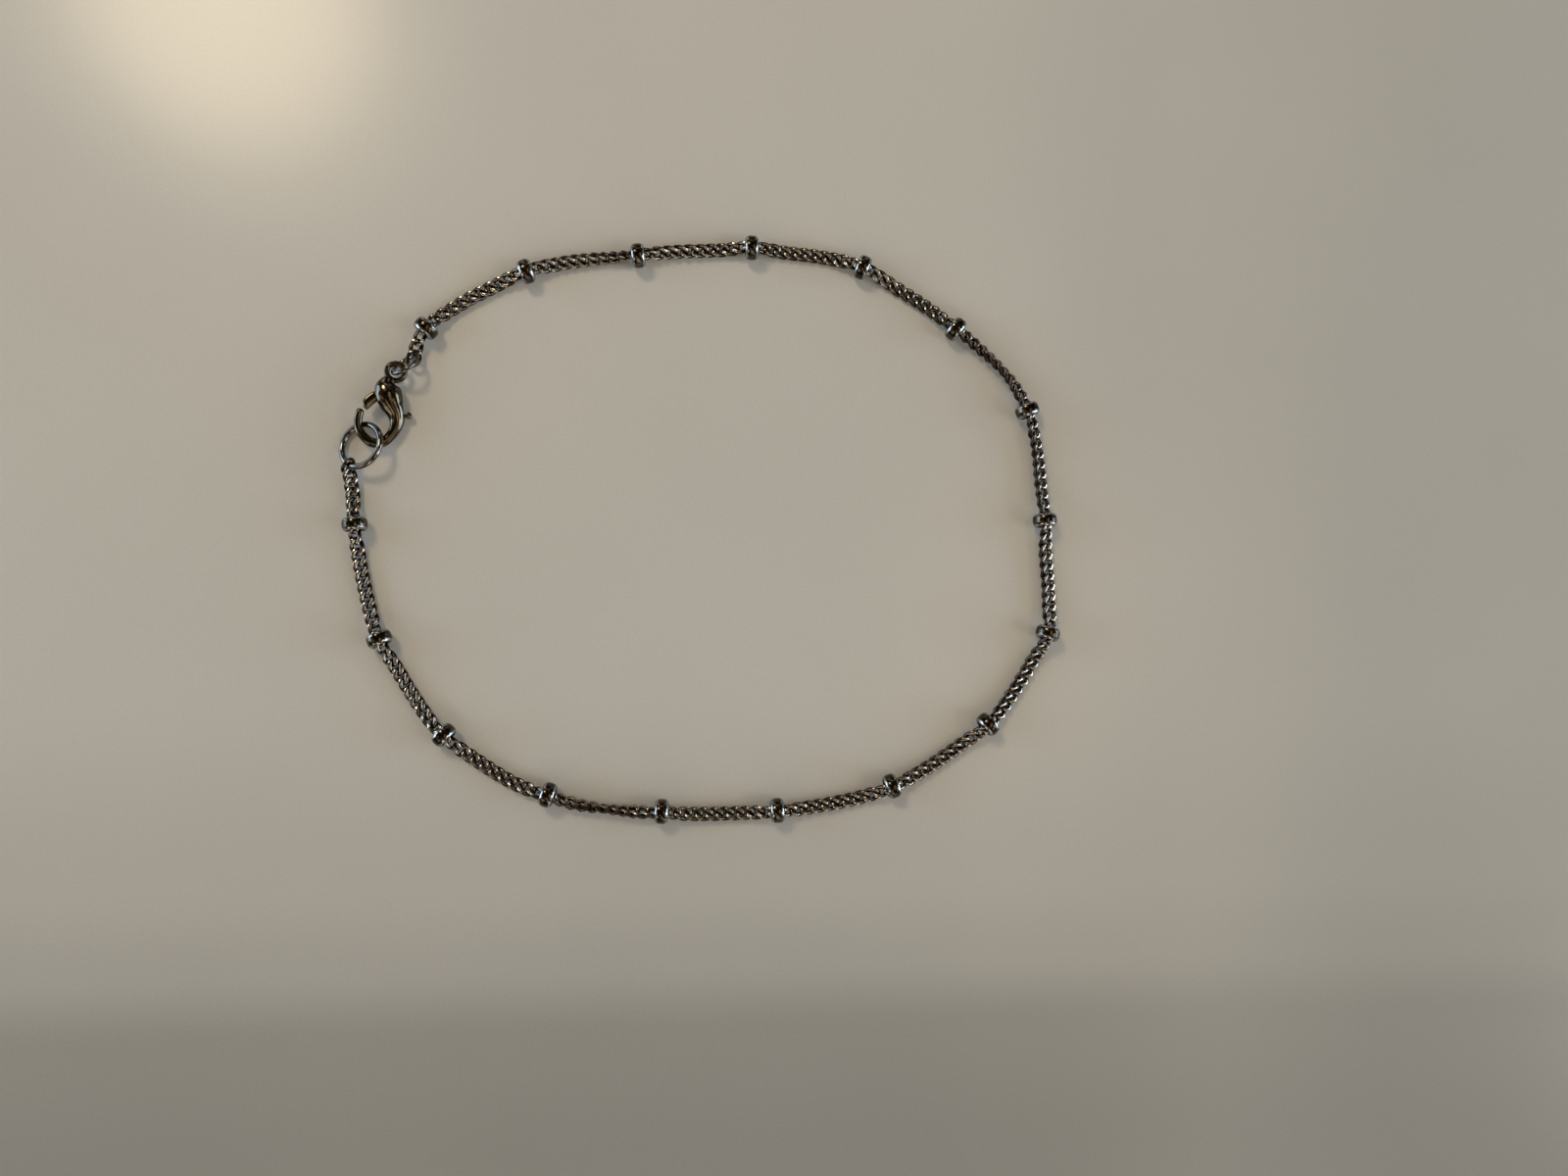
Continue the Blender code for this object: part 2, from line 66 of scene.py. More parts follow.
# The first and last link, of finer wire, which hold the jump rings.
END_LINK_HALF_LENGTH = 0.865 * MM
END_LINK_HALF_WIDTH = 0.665 * MM
END_LINK_RISE = 0.11 * MM
END_LINK_WIRE = 0.42 * MM
END_LINK_FLAT = 0.30 * MM
END_LINK_SIDES = 12
END_LINK_STEPS = (0, 15, 30, 45, 60, 75)
FIRST_LINK = Vector((-32.85, 18.85, 1.04)) * MM
FIRST_LINK_TURN = (72.6, -2.2, 5.9)
LAST_LINK = Vector((-39.72, 6.40, 1.29)) * MM
LAST_LINK_TURN = (64.7, 22.0, 58.7)

# The beads: short barrels with a plain band, drilled for the chain.
BEAD_DIAMETER = 2.8 * MM
BEAD_LENGTH = 1.5 * MM
BEAD_HOLE = 0.95 * MM
BEAD_SIT = 0.15 * MM
BEAD_DROP = 0.07 * MM
BEAD_HALF_BAND = 0.08 * MM
BEAD_FACE = 0.10 * MM
BEAD_HOLE_EASE = ((0.02 * MM, 0.03 * MM), (0.0, 0.1 * MM))
BEAD_RUBBED = (0.50 * MM, 0.73 * MM)
BEAD_RUBBED_REACH = 1.1 * MM
BEAD_SIDES = 56
BEAD_POINTS = 24
BEAD_TURN = 0.7
CHAIN_SAG = 3.2 * MM
INSIDE_BEAD = 1.4 * MM

# Where the chain passes between the clasp and the first bead, in mm, and its roll there.
ROUTE_START = (-32.62, 20.22)
ROLL_START = 10.0
ROLL_START_BEFORE = 0.8 * MM

# How finely the line is drawn, and how far apart its direction is read.
LINE_STEPS = 16
RUN_STEP = 0.3 * MM

# Where between two beads the bows and the rolls of the route are given.
BOW_SHARES = (0.3, 0.7)
ROLL_SHARES = (0.14, 0.5, 0.86)

# Each bead's middle, how far the chain after it bows outwards at its first and last
# third, and how far the chain is rolled over just after the bead, midway and just
# before the next bead.
ROUTE = [
    # x, y, bow_first, bow_last, roll_after, roll_midway, roll_before
    (-31.42, 22.27, 0.78, 0.63, 4, 8, 10),
    (-20.30, 29.10, 0.60, 0.43, 14, 52, 80),
    (-7.57, 31.22, 0.37, 0.28, 48, 26, 8),
    (5.59, 32.44, 0.47, 0.68, 2, 4, 14),
    (18.58, 30.37, 0.47, 0.57, 30, -12, -10),
    (29.52, 23.18, 0.91, 1.16, -30, -56, -30),
    (37.88, 13.58, 0.65, 0.42, -34, -32, -28),
    (39.70, 0.61, 0.23, 0.46, -22, -18, -12),
    (39.75, -12.54, 0.51, 0.62, -18, -19, -19),
    (32.51, -22.98, 0.46, 0.58, -12, -10, -6),
    (21.30, -29.86, 0.62, 0.54, -4, 0, 4),
    (8.23, -32.43, 0.35, 0.42, 8, 12, 24),
    (-4.73, -32.35, 0.57, 0.67, 40, 84, 50),
    (-17.30, -30.35, 0.85, 0.70, 12, 8, 6),
    (-28.74, -23.64, 0.59, 0.42, 6, 6, 6),
    (-35.95, -12.98, 0.57, 0.54, 6, 6, 8),
    (-38.88, -0.17, 0.0, 0.0, 8, 10, 20),
]

# The jump rings: diameter, wire, place in mm, heading, lean and where the split is.
RING_SPLIT = 0.08 * MM
RING_STEPS = 88
RING_SIDES = 20
CLASP_RING = (3.6 * MM, 0.5 * MM, (-33.71, 17.96), 33.0, 36.0, -80)
END_RING = (5.73 * MM, 0.7 * MM, (-38.381, 8.752), -28.0, 25.0, 134)

# The clasp in its own frame, where X is across it and Y along it from the hook's bend to
# the eye: its place and turn, then the middle line and the width, from the neck round
# the shoulder and the bend to the hook's tip.
CLASP_PLACE = Vector((-37.190, 8.592, 1.131)) * MM
CLASP_TURN = (2.0, 11.0, -14.1)
CLASP_FLATNESS = 0.84
LIMB = [
    # across, along, width in mm
    (0.16, 8.28, 0.60),
    (-0.03, 8.01, 1.04),
    (-0.18, 7.62, 1.77),
    (-0.16, 7.11, 2.57),
    (0.05, 6.53, 2.97),
    (0.35, 5.90, 3.00),
    (0.78, 5.30, 2.69),
    (1.22, 4.78, 2.29),
    (1.59, 4.18, 1.90),
    (1.81, 3.55, 1.62),
    (1.81, 2.71, 1.32),
    (1.54, 1.80, 1.16),
    (1.08, 1.01, 1.13),
    (0.37, 0.58, 1.13),
    (-0.39, 0.55, 1.10),
    (-1.12, 0.88, 1.01),
    (-1.73, 1.41, 0.95),
    (-2.12, 2.13, 0.92),
    (-2.26, 2.92, 0.92),
    (-2.27, 3.57, 0.89),
    (-2.25, 3.92, 0.73),
]

# The eye, a ring of round wire on the clasp's neck.
EYE_PLACE = (0.312, 8.925, 0.0)
EYE_RADIUS = 0.965
EYE_WIRE_RADIUS = 0.31

# The rivet, and the lever's middle line from it with the lever's width.
PIN_PLACE = Vector((0.660, 5.620, 0.0))
RIVET_RADIUS = 0.30
RIVET_LENGTH = 2.35
RIVET_ROUNDING = 0.06
RIVET_BORE_RADIUS = 0.35
LEVER = [
    # across, along, width in mm
    (-2.68, -1.55, 0.95),
    (-2.26, -0.62, 1.15),
    (-1.55, 0.20, 1.15),
    (-0.75, 0.26, 1.15),
    (0.00, 0.00, 1.35),
    (0.78, -0.78, 1.15),
    (1.51, -1.29, 0.55),
    (1.95, -1.24, 0.55),
    (2.26, -1.06, 0.84),
    (2.52, -0.90, 0.84),
]
LEVER_HALF_THICKNESS = 0.35
LEVER_FLATNESS = 0.62
LEVER_MITRE = 0.65

# The room for the lever in the casting, its end past the thumb tab and its swings.
LEVER_ROOM = 0.09
LEVER_ROOM_END = (2.74, -0.76, 0.95)
LEVER_SWINGS = (0, 6, 12, 18, 24, 27)
LEVER_ROOM_GRAIN = 0.02

# How finely the casting and the lever are meshed, and how far their edges are eased.
CASTING_GRAIN, CASTING_ROUNDING = 0.05, 7
LEVER_GRAIN, LEVER_ROUNDING = 0.045, 3

# The finishes: dark, middle and light plating, roughness and its spread, the pattern's
# scale, and the colour where the plating is rubbed.
FINISHES = {
    "chain": (
        (0.026, 0.018, 0.012), (0.050, 0.036, 0.026), (0.10, 0.076, 0.058),
        0.15, 0.04, 900.0, (0.60, 0.54, 0.46),
    ),
    "bead": (
        (0.040, 0.031, 0.022), (0.070, 0.056, 0.040), (0.11, 0.092, 0.070),
        0.12, 0.04, 700.0, (0.33, 0.34, 0.34),
    ),
    "clasp": (
        (0.054, 0.044, 0.029), (0.098, 0.082, 0.056), (0.16, 0.138, 0.100),
        0.11, 0.04, 420.0, None,
    ),
    "ring": (
        (0.10, 0.09, 0.08), (0.16, 0.147, 0.134), (0.24, 0.224, 0.206),
        0.09, 0.03, 600.0, None,
    ),
}
CLOUD_STOPS = (0.32, 0.5, 0.68)
DENT_STRENGTH = 0.12
DENT_DEPTH = 0.02 * MM

# The counter: its clouded colour and fine grain, and the painted shade that darkens it towards
# the front edge and the right, as distance in metres and level.
STONE = [(0.3, (0.605, 0.59, 0.548)), (0.7, (0.625, 0.61, 0.568))]
STONE_GRAIN = [(0.3, (0.96, 0.96, 0.96)), (0.7, (1.0, 1.0, 1.0))]
STONE_SCALE = 30.0
STONE_GRAIN_SCALE = 3200.0
SHADE_REACH = 0.10
FRONT_SHADE = [
    (-0.070, 0.575), (-0.057, 0.615), (-0.049, 0.80), (-0.040, 0.89), (-0.018, 1.0),
]
FRONT_SHADE_FADES = (0.036, 0.060, 1.0, 0.74)
RIGHT_SHADE = [(0.030, 1.0), (0.055, 0.92), (0.085, 0.86)]
STONE_ROUGHNESS = 0.19
STONE_GLOSS = 0.25

# The room by height, its dim and bright stretches, and the lamps: place, size, power
# and colour. A lamp with one size is round.
ROOM_WALLS = [
    (0.0, (0.30, 0.28, 0.25)),
    (0.30, (0.55, 0.52, 0.48)),
    (0.70, (0.60, 0.53, 0.44)),
    (0.88, (0.50, 0.40, 0.27)),
    (0.97, (0.42, 0.32, 0.20)),
]
ROOM_STRETCHES = [
    (0.42, (0.12, 0.12, 0.12)),
    (0.54, (0.5, 0.5, 0.5)),
    (0.63, (6.0, 6.0, 6.0)),
]
ROOM_STRETCH_SCALE = 2.6
ROOM_STRENGTH = 0.52
LAMPS = {
    "warm_lamp": ((-0.253, 0.349, 0.50), (0.15,), 1.05, (1.0, 0.82, 0.56)),
    "window_left": ((-0.70, 0.08, 0.16), (0.60, 0.30), 2.6, (0.50, 0.72, 1.0)),
    "window_right": ((0.70, -0.10, 0.16), (0.50, 0.26), 2.6, (0.55, 0.76, 1.0)),
    "cream_lamp": ((0.60, -0.20, 0.46), (0.20, 0.20), 0.5, (1.0, 0.92, 0.80)),
}

# The camera: place in mm, tilt to either side in degrees, and lens in mm.
CAMERA_PLACE = (-0.95, -17.37, 135.24)
CAMERA_TILT = (4.3, -4.3)
CAMERA_LENS = 27.05
CAMERA_SENSOR = 36.0


def deselect_everything():
    for shown in bpy.context.selected_objects:
        shown.select_set(False)


def only(piece):
    """Selects this piece alone and makes it the active one."""
    deselect_everything()
    piece.select_set(True)
    bpy.context.view_layer.objects.active = piece
    return piece


# ---------------------------------------------------------------- finishes


def shader_of(name):
    made = bpy.data.materials.new(name)
    made.use_nodes = True
    nodes = made.node_tree.nodes
    return made, nodes, made.node_tree.links, nodes["Principled BSDF"]


def noise_at(nodes, links, source, scale, detail):
    noise = nodes.new("ShaderNodeTexNoise")
    noise.inputs["Scale"].default_value = scale
    noise.inputs["Detail"].default_value = detail
    links.new(source, noise.inputs["Vector"])
    return noise.outputs["Fac"]


def ramp_of(nodes, links, source, stops, interpolation="LINEAR"):
    """A value turned into colours by these stops of (place, colour)."""
    ramp = nodes.new("ShaderNodeValToRGB")
    ramp.color_ramp.interpolation = interpolation
    while len(ramp.color_ramp.elements) < len(stops):
        ramp.color_ramp.elements.new(0.5)
    for element, (place, colour) in zip(ramp.color_ramp.elements, stops):
        element.position = place
        element.color = (*colour, 1.0)
    links.new(source, ramp.inputs["Fac"])
    return ramp.outputs["Color"]


def mottled(nodes, links, source, scale, detail, stops):
    """A noise read at this scale and spread between colour stops."""
    return ramp_of(nodes, links, noise_at(nodes, links, source, scale, detail), stops)


def mapped(nodes, links, source, low, high, to_low, to_high, interpolation="LINEAR"):
    """A value moved from one range to another."""
    reach = nodes.new("ShaderNodeMapRange")
    reach.interpolation_type = interpolation
    reach.inputs["From Min"].default_value = low
    reach.inputs["From Max"].default_value = high
    reach.inputs["To Min"].default_value = to_low
    reach.inputs["To Max"].default_value = to_high
    links.new(source, reach.inputs["Value"])
    return reach.outputs["Result"]


def multiplied(nodes, links, first, second, share=None):
    """One colour multiplied by another, wholly or as far as the share says."""
    mix = nodes.new("ShaderNodeMix")
    mix.data_type = "RGBA"
    mix.blend_type = "MULTIPLY"
    mix.inputs["Factor"].default_value = 1.0
    if share:
        links.new(share, mix.inputs["Factor"])
    links.new(first, mix.inputs["A"])
    links.new(second, mix.inputs["B"])
    return mix.outputs["Result"]


def plated_metal(name, dark, middle, light, roughness, spread, grain, worn):
    """Dark plating over brass: clouded colour, uneven polish and fine handling marks."""
    made, nodes, links, shader = shader_of(name)
    place = nodes.new("ShaderNodeTexCoord").outputs["Object"]
    clouds = list(zip(CLOUD_STOPS, (dark, middle, light)))
    colour = mottled(nodes, links, place, grain, 3.0, clouds)
    polish = noise_at(nodes, links, place, grain * 2.7, 4.0)
    level = mapped(nodes, links, polish, 0.3, 0.7, roughness - spread, roughness + spread)
    if worn:
        wear = nodes.new("ShaderNodeAttribute")
        wear.attribute_name = "worn"
        rubbed = nodes.new("ShaderNodeMix")
        rubbed.data_type = "RGBA"
        rubbed.inputs["B"].default_value = (*worn, 1.0)
        links.new(wear.outputs["Fac"], rubbed.inputs["Factor"])
        links.new(colour, rubbed.inputs["A"])
        colour = rubbed.outputs["Result"]
    links.new(colour, shader.inputs["Base Color"])
    links.new(level, shader.inputs["Roughness"])
    shader.inputs["Metallic"].default_value = 1.0
    dents = nodes.new("ShaderNodeBump")
    dents.inputs["Strength"].default_value = DENT_STRENGTH
    dents.inputs["Distance"].default_value = DENT_DEPTH
    links.new(noise_at(nodes, links, place, grain * 9.0, 2.0), dents.inputs["Height"])
    links.new(dents.outputs["Normal"], shader.inputs["Normal"])
    return made


def make_finishes():
    return {part: plated_metal(f"{part}_plating", *look) for part, look in FINISHES.items()}


# ---------------------------------------------------------------- the chain's line


def through(rows, steps):
    """Rows of numbers read from a smooth curve through the given rows."""
    ends = np.array([2 * rows[0] - rows[1], *rows, 2 * rows[-1] - rows[-2]])
    out = []
    for i in range(1, len(ends) - 2):
        p0, p1, p2, p3 = ends[i - 1 : i + 3]
        for t in np.arange(steps) / steps:
            square = (2 * p0 - 5 * p1 + 4 * p2 - p3) * t**2
            cube = (3 * p1 - p0 - 3 * p2 + p3) * t**3
            out.append((2 * p1 + (p2 - p0) * t + square + cube) / 2)
    out.append(ends[-2])
    return np.array(out)


def outward(first, second):
    run = (second - first) / np.linalg.norm(second - first)
    return np.array((-run[1], run[0]))


def chain_line():
    """The chain's middle line as distance along it and place, and the beads' distances."""
    middles = [np.array(row[:2]) * MM for row in ROUTE]
    around = [np.array(FIRST_LINK[:2]), *middles, np.array(LAST_LINK[:2])]
    rows, bead_rows = [around[0], np.array(ROUTE_START) * MM], []
    for i, middle in enumerate(middles):
        bead_rows.append(len(rows))
        rows.append(middle + outward(around[i], around[i + 2]) * BEAD_SIT)
        if i + 1 < len(middles):
            out = outward(middle, middles[i + 1])
            for share, bow in zip(BOW_SHARES, ROUTE[i][2:4]):
                rows.append(middle + (middles[i + 1] - middle) * share + out * bow * MM)
    rows.append(around[-1])
    flat = through(np.array(rows), LINE_STEPS)
    steps = np.linalg.norm(np.diff(flat, axis=0), axis=1)
    along = np.concatenate([[0.0], np.cumsum(steps)])
    return along, flat, along[np.array(bead_rows) * LINE_STEPS]


def spot_at(along, flat, mark):
    """The place on the line at this distance along it."""
    return np.array([np.interp(mark, along, flat[:, k]) for k in (0, 1)])


def run_at(along, flat, mark):
    """The line's direction at this distance along it."""
    return spot_at(along, flat, mark + RUN_STEP) - spot_at(along, flat, mark - RUN_STEP)


def roll_stops(beads, total):
    """Where the chain's roll is known along it, and the roll there, in degrees."""
    stops = [0.0, beads[0] - ROLL_START_BEFORE]
    rolls = [FIRST_LINK_TURN[2], ROLL_START]
    for start, end, row in zip(beads, [*beads[1:], total], ROUTE):
        stops += [start + share * (end - start) for share in ROLL_SHARES]
        rolls += list(row[4:7])
    stops.append(total)
    rolls.append(LAST_LINK_TURN[2])
    return np.array(stops), np.array(rolls, float)


def link_marks(beads, total):
    """How far along the line each link's middle lies."""
    marks = list(beads[0] * np.arange(1, LINKS_TO_CLASP) / LINKS_TO_CLASP)
    for start, end in zip(beads, beads[1:]):
        marks += list(start + (end - start) * np.arange(LINKS_PER_BEAD) / LINKS_PER_BEAD)
    marks += list(beads[-1] + (total - beads[-1]) * np.arange(LINKS_TO_RING) / LINKS_TO_RING)
    return np.array(marks)


def chain_seats(points):
    """Every link's seat: place, height, heading, roll, narrowing and slope."""
    along, flat, beads = chain_line()
    total = along[-1]
    marks = link_marks(beads, total)
    stops, rolls = roll_stops(beads, total)
    chance = np.random.default_rng(7)
    high = BEAD_DIAMETER / 2 - BEAD_DROP
    seats = []
    for mark in marks:
        roll = math.radians(np.interp(mark, stops, rolls) + chance.normal(0.0, ROLL_CHANCE))
        low = -(points[:, 1] * math.sin(roll) + points[:, 2] * math.cos(roll)).min()
        free = np.abs(beads - mark).min() - BEAD_LENGTH / 2
        share = min(max(1 - free / CHAIN_SAG, 0.0), 1.0)
        height = low + (high - low) * share * share
        for end, link in ((0.0, FIRST_LINK), (total, LAST_LINK)):
            share = min(max(1 - abs(mark - end) / CHAIN_SAG, 0.0), 1.0)
            height = max(height, low + (link.z - low) * share)
        run = run_at(along, flat, mark)
        narrowed = DRAWN_IN if np.abs(beads - mark).min() < INSIDE_BEAD else 1.0
        heading = math.atan2(run[1], run[0])
        seats.append((spot_at(along, flat, mark), height, heading, roll, narrowed))
    heights = np.array([seat[1] for seat in seats])
    slopes = np.gradient(heights) / np.gradient(marks)
    return [(*seat, slope) for seat, slope in zip(seats, slopes)]


# ---------------------------------------------------------------- the chain's links


def wire_at(angle, half_length, half_width, rise):
    """A curb link's wire here: its middle, and the directions to its side and upwards."""
    c, s = math.cos(angle), math.sin(angle)
    middle = Vector((half_length * c, half_width * s, rise * math.sin(2 * angle)))
    run = Vector((-half_length * s, half_width * c, 2 * rise * math.cos(2 * angle))).normalized()
    side = Vector((half_width * c, half_length * s, 0.0)).normalized()
    return middle, side, run.cross(side) * -1


def shape_curb_link(name, half_length, half_width, rise, wire, flat, steps, sides):
    """A torus drawn into a curb link, its high places filed flat on both faces."""
    angles = [math.radians(quarter + step) for quarter in (0, 90, 180, 270) for step in steps]
    reach = wire / 2
    bpy.ops.mesh.primitive_torus_add(
        major_segments=len(angles),
        minor_segments=sides,
        major_radius=half_length,
        minor_radius=reach,
    )
    link = bpy.context.object
    link.name = name
    filed = set()
    for vertex in link.data.vertices:
        ring, spot = divmod(vertex.index, sides)
        turn = 2 * math.pi * (spot + 0.5) / sides
        middle, side, up = wire_at(angles[ring], half_length, half_width, rise)
        point = middle + side * math.cos(turn) * reach + up * math.sin(turn) * reach
        over = abs(point.z) - flat
        if over > 0 and abs(middle.z) > flat - reach:
            high = math.copysign(flat, point.z)
            chord = math.sqrt(max(reach**2 - (high - middle.z) ** 2, 0.0))
            point = middle + side * math.copysign(chord, math.cos(turn))
            point.z = high
            filed.add(vertex.index)
        vertex.co = point
    for face in link.data.polygons:
        face.use_smooth = not all(index in filed for index in face.vertices)
    worn = link.data.attributes.new("worn", "FLOAT", "POINT")
    for index in filed:
        worn.data[index].value = 1.0
    return link


def turned_out(piece):
    """Recalculates the piece's normals so that its faces point outwards."""
    only(piece)
    bpy.ops.object.mode_set(mode="EDIT")
    bpy.ops.mesh.select_all(action="SELECT")
    bpy.ops.mesh.normals_make_consistent(inside=False)
    bpy.ops.mesh.select_all(action="DESELECT")
    bpy.ops.object.mode_set(mode="OBJECT")
    return piece


def make_curb_chain(finishes):
    """One curb link, laid again on every seat along the line."""
    link = turned_out(
        shape_curb_link(
            "curb_link",
            LINK_HALF_LENGTH,
            LINK_HALF_WIDTH,
            LINK_RISE,
            LINK_WIRE,
            LINK_FLAT,
            LINK_STEPS,
            LINK_SIDES,
        )
    )
    points = np.array([vertex.co for vertex in link.data.vertices])
    faces = [tuple(face.vertices) for face in link.data.polygons]
    smooth = [face.use_smooth for face in link.data.polygons]
    worn = [spot.value for spot in link.data.attributes["worn"].data]
    all_points, all_faces = [], []
    seats = chain_seats(points)
    for place, height, heading, roll, narrowed, slope in seats:
        turn = Matrix.Rotation(heading, 3, "Z")
        turn = turn @ Matrix.Rotation(-math.atan(slope), 3, "Y") @ Matrix.Rotation(roll, 3, "X")
        shift = len(all_points) * len(points)
        laid = (points * (1.0, narrowed, 1.0)) @ np.array(turn).T
        laid = laid + (place[0], place[1], height)
        laid[:, 2] += max(0.0, -laid[:, 2].min())
        all_points.append(laid)
        all_faces += [tuple(index + shift for index in face) for face in faces]
    mesh = bpy.data.meshes.new("curb_chain")
    mesh.from_pydata(np.concatenate(all_points).tolist(), [], all_faces)
    mesh.polygons.foreach_set("use_smooth", smooth * len(seats))
    rubbed = mesh.attributes.new("worn", "FLOAT", "POINT")
    rubbed.data.foreach_set("value", worn * len(seats))
    chain = bpy.data.objects.new("curb_chain", mesh)
    bpy.context.collection.objects.link(chain)
    bpy.data.objects.remove(link, do_unlink=True)
    chain.data.materials.append(finishes["chain"])
    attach(chain, "bracelet")
    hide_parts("chain")


def make_end_links(finishes):
    """The first and last link, which hold the jump rings, in the frame's places."""
    for name, node, place, turn in (
        ("first_curb_link", "chain_end_link_first", FIRST_LINK, FIRST_LINK_TURN),
        ("last_curb_link", "chain_end_link_last", LAST_LINK, LAST_LINK_TURN),
    ):
        link = shape_curb_link(
            name,
            END_LINK_HALF_LENGTH,
            END_LINK_HALF_WIDTH,
            END_LINK_RISE,
            END_LINK_WIRE,
            END_LINK_FLAT,
            END_LINK_STEPS,
            END_LINK_SIDES,
        )
        heading, pitch, roll = (math.radians(a) for a in turn)
        stand = Euler((roll, -pitch, heading), "XYZ").to_matrix().to_4x4()
        link.data.transform(Matrix.Translation(place) @ stand)
        turned_out(link)
        link.data.materials.append(finishes["chain"])
        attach(link, "bracelet")
        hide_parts(node)


# ---------------------------------------------------------------- the beads


def bead_outline(count):
    """Points round the bead's half section: over the shoulder, the band and up the hole."""
    rim = BEAD_HOLE + BEAD_FACE
    radius, top = BEAD_DIAMETER / 2, BEAD_LENGTH / 2
    steps = (count - 6) // 2
    shoulder = []
    for k in range(steps + 1):
        turn = math.pi / 2 * (1 - k / steps)
        reach = rim + (radius - rim) * math.cos(turn)
        shoulder.append((reach, BEAD_HALF_BAND + (top - BEAD_HALF_BAND) * math.sin(turn)))
    inner = [(BEAD_HOLE + out, -top + inwards) for out, inwards in BEAD_HOLE_EASE]
    inner += [(x, -y) for x, y in reversed(inner)]
    return shoulder + [(x, -y) for x, y in reversed(shoulder)] + inner


def make_bead_pattern(finish):
    """One bead drawn from a torus, standing on its end, its shoulders' edges rubbed."""
    outline = bead_outline(BEAD_POINTS)
    bpy.ops.mesh.primitive_torus_add(
        major_segments=BEAD_SIDES,
        minor_segments=len(outline),
        major_radius=BEAD_DIAMETER / 2,
        minor_radius=BEAD_LENGTH / 4,
    )
    pattern = bpy.context.object
    worn = pattern.data.attributes.new("worn", "FLOAT", "POINT")
    for vertex in pattern.data.vertices:
        ring, spot = divmod(vertex.index, len(outline))
        turn = 2 * math.pi * ring / BEAD_SIDES
        reach, high = outline[spot]
        vertex.co = (reach * math.cos(turn), reach * math.sin(turn), high)
        rubbed = BEAD_RUBBED[0] < abs(high) < BEAD_RUBBED[1] and reach > BEAD_RUBBED_REACH
        worn.data[vertex.index].value = float(rubbed)
    turned_out(pattern)
    bpy.ops.object.shade_smooth_by_angle(angle=math.radians(50))
    pattern.data.materials.append(finish)
    return pattern


def make_beads(finishes):
    """The bead seated on the line for each of the frame's beads, each turned differently."""
    pattern = make_bead_pattern(finishes["bead"])
    along, flat, beads = chain_line()
    for i, mark in enumerate(beads):
        bead = pattern.copy()
        bead.data = pattern.data.copy()
        bead.name = f"barrel_{i + 1:02d}"
        bpy.context.collection.objects.link(bead)
        run = Vector((*run_at(along, flat, mark), 0.0))
        middle = Vector((ROUTE[i][0] * MM, ROUTE[i][1] * MM, BEAD_DIAMETER / 2))
        stand = Matrix.Translation(middle) @ run.to_track_quat("Z", "Y").to_matrix().to_4x4()
        bead.data.transform(stand @ Matrix.Rotation(BEAD_TURN * i, 4, "Z"))
        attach(bead, "bracelet")
        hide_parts(f"bead_{i + 1:02d}")
    bpy.data.objects.remove(pattern, do_unlink=True)


# ---------------------------------------------------------------- clasp and rings


def make_jump_ring(name, node, diameter, wire, stand, finish):
    """A torus of round wire, opened by a hair where its butt ends meet."""
    radius = (diameter - wire) / 2
    bpy.ops.mesh.primitive_torus_add(
        major_segments=RING_STEPS,
        minor_segments=RING_SIDES,
        major_radius=radius,
        minor_radius=wire / 2,
    )
    ring = only(bpy.context.object)
    ring.name = name
    half_gap = RING_SPLIT / 2 / radius
    for vertex in ring.data.vertices:
        step, spot = divmod(vertex.index, RING_SIDES)
        angle = half_gap + (2 * math.pi - 2 * half_gap) * step / (RING_STEPS - 1)
        turn = 2 * math.pi * spot / RING_SIDES
        reach = radius + wire / 2 * math.cos(turn)
        height = wire / 2 * math.sin(turn)
        vertex.co = (reach * math.cos(angle), reach * math.sin(angle), height)
    bpy.ops.object.mode_set(mode="EDIT")
    work = bmesh.from_edit_mesh(ring.data)
    across_split = {0, RING_STEPS - 1}
    crossing = [f for f in work.faces if {v.index // RING_SIDES for v in f.verts} == across_split]
    bmesh.ops.delete(work, geom=crossing, context="FACES_ONLY")
    open_edges = [edge for edge in work.edges if edge.is_boundary]
    bmesh.ops.holes_fill(work, edges=open_edges, sides=RING_SIDES)
    bmesh.update_edit_mesh(ring.data)
    bpy.ops.object.mode_set(mode="OBJECT")
    ring.data.transform(stand)
    turned_out(ring)
    bpy.ops.object.shade_smooth_by_angle(angle=math.radians(40))
    ring.data.materials.append(finish)
    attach(ring, "bracelet")
    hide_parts(node)


def make_jump_rings(finishes):
    """The small ring standing on its edge by the clasp, and the large one leaning in the hook."""
    diameter, wire, (x, y), heading, lean, split = CLASP_RING
    lean = math.radians(lean)
    height = wire / 2 + (diameter - wire) / 2 * math.cos(lean)
    stand = (
        Matrix.Translation((x * MM, y * MM, height))
        @ Matrix.Rotation(math.radians(heading), 4, "Z")
        @ Matrix.Rotation(math.radians(90) + lean, 4, "X")
        @ Matrix.Rotation(math.radians(split), 4, "Z")
    )
    make_jump_ring("small_jump_ring", "clasp_ring", diameter, wire, stand, finishes["ring"])
    diameter, wire, (x, y), heading, lean, split = END_RING
    lean = math.radians(lean)
    height = wire / 2 + (diameter - wire) / 2 * math.sin(lean)
    stand = (
        Matrix.Translation((x * MM, y * MM, height))
        @ Matrix.Rotation(math.radians(heading), 4, "Z")
        @ Matrix.Rotation(-lean, 4, "Y")
        @ Matrix.Rotation(math.radians(split), 4, "Z")
    )
    make_jump_ring("large_jump_ring", "end_ring", diameter, wire, stand, finishes["ring"])


